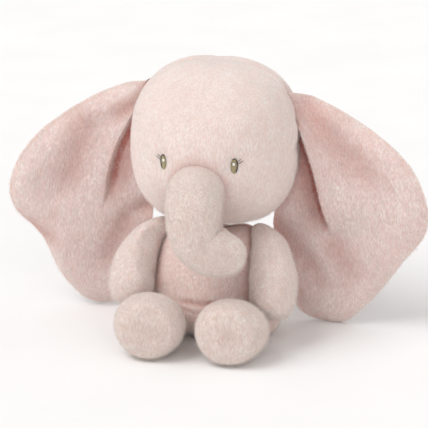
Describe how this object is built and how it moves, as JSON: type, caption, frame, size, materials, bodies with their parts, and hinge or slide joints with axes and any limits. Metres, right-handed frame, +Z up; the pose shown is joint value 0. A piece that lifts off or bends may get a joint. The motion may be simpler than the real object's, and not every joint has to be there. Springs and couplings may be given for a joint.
{
  "type": "stuffed elephant",
  "caption": "Sitting plush elephant with a round head, very large drooping ears, a short curled trunk, embroidered sleepy eyes, soft arms and stubby legs with round soles.",
  "frame": {"origin": "on the surface that the toy sits on, under the middle of the torso's flat seat", "axes": "+Z up, the toy faces -Y, its own left is +X"},
  "size_m": [0.428, 0.2182, 0.2725],
  "materials": {
    "plush_head": "short smooth plush pile, pale blush",
    "plush_body": "short brushed plush pile, dusty pink",
    "plush_ear": "short brushed plush pile, dusty rose",
    "fibre_filling": "loose polyester fibre",
    "ear_wadding": "thin polyester wadding",
    "pellet_bag": "plain cloth bag of small plastic pellets",
    "thread_gold": "satin stitches of shiny olive-gold thread",
    "thread_brown": "satin stitches of dark brown thread",
    "thread_white": "satin stitches of white thread",
    "thread_pink": "matt sewing thread",
    "label_ribbon": "blank satin ribbon"
  },
  "bodies": {
    "torso": {"torso_front_panel": "plush_body", "torso_back_panel": "plush_body", "torso_filling": "fibre_filling", "seat_pellet_bag": "pellet_bag", "closing_stitches": "thread_pink", "care_label": "label_ribbon"},
    "neck": {"neck_seam": "thread_pink"},
    "head": {"head_front_panel": "plush_head", "head_back_panel": "plush_head", "head_filling": "fibre_filling", "eye_left_gold_thread": "thread_gold", "eye_left_brown_thread": "thread_brown", "eye_left_white_thread": "thread_white", "eye_right_gold_thread": "thread_gold", "eye_right_brown_thread": "thread_brown", "eye_right_white_thread": "thread_white"},
    "trunk": {"trunk_left_panel": "plush_body", "trunk_right_panel": "plush_body", "trunk_filling": "fibre_filling"},
    "ear_left": {"ear_left_front": "plush_ear", "ear_left_back": "plush_ear", "ear_left_wadding": "ear_wadding"},
    "ear_right": {"ear_right_front": "plush_ear", "ear_right_back": "plush_ear", "ear_right_wadding": "ear_wadding"},
    "arm_left": {"arm_left_outer": "plush_body", "arm_left_inner": "plush_body", "arm_left_filling": "fibre_filling"},
    "arm_right": {"arm_right_outer": "plush_body", "arm_right_inner": "plush_body", "arm_right_filling": "fibre_filling"},
    "leg_left": {"leg_left_tube": "plush_body", "leg_left_sole": "plush_body", "leg_left_filling": "fibre_filling"},
    "leg_right": {"leg_right_tube": "plush_body", "leg_right_sole": "plush_body", "leg_right_filling": "fibre_filling"},
    "tail": {"tail": "plush_body"}
  },
  "joints": [
    {"name": "neck_turn", "type": "hinge", "parent": "torso", "child": "neck", "pos_m": [0, 0.016, 0.098], "axis": [0, 0, -1], "range_deg": [-15, 15], "stiffness_Nm_per_rad": 1},
    {"name": "head_nod", "type": "hinge", "parent": "neck", "child": "head", "pos_m": [0, 0.016, 0.101], "axis": [1, 0, 0], "range_deg": [-10, 5], "stiffness_Nm_per_rad": 1.6},
    {"name": "trunk_lift", "type": "hinge", "parent": "head", "child": "trunk", "pos_m": [0, -0.077, 0.165], "axis": [-1, 0, 0], "range_deg": [-4, 25], "stiffness_Nm_per_rad": 0.15},
    {"name": "ear_left_flap", "type": "hinge", "parent": "head", "child": "ear_left", "pos_m": [0.082, 0.035, 0.19], "axis": [0, 0, -1], "range_deg": [-20, 40], "stiffness_Nm_per_rad": 0.12},
    {"name": "ear_right_flap", "type": "hinge", "parent": "head", "child": "ear_right", "pos_m": [-0.082, 0.035, 0.19], "axis": [0, 0, 1], "range_deg": [-20, 40], "stiffness_Nm_per_rad": 0.12},
    {"name": "arm_left_swing", "type": "hinge", "parent": "torso", "child": "arm_left", "pos_m": [0.0535, -0.005, 0.1], "axis": [-1, 0, 0], "range_deg": [-2, 60], "stiffness_Nm_per_rad": 0.1},
    {"name": "arm_right_swing", "type": "hinge", "parent": "torso", "child": "arm_right", "pos_m": [-0.0535, -0.005, 0.1], "axis": [-1, 0, 0], "range_deg": [-2, 60], "stiffness_Nm_per_rad": 0.1},
    {"name": "leg_left_lift", "type": "hinge", "parent": "torso", "child": "leg_left", "pos_m": [0.0415, -0.07, 0.025], "axis": [-1, 0, 0], "range_deg": [-8, 15], "stiffness_Nm_per_rad": 0.12},
    {"name": "leg_right_lift", "type": "hinge", "parent": "torso", "child": "leg_right", "pos_m": [-0.0415, -0.07, 0.025], "axis": [-1, 0, 0], "range_deg": [-8, 15], "stiffness_Nm_per_rad": 0.12},
    {"name": "tail_wag", "type": "hinge", "parent": "torso", "child": "tail", "pos_m": [0, 0.056, 0.034], "axis": [0, 0, 1], "range_deg": [-25, 25], "stiffness_Nm_per_rad": 0.02}
  ]
}
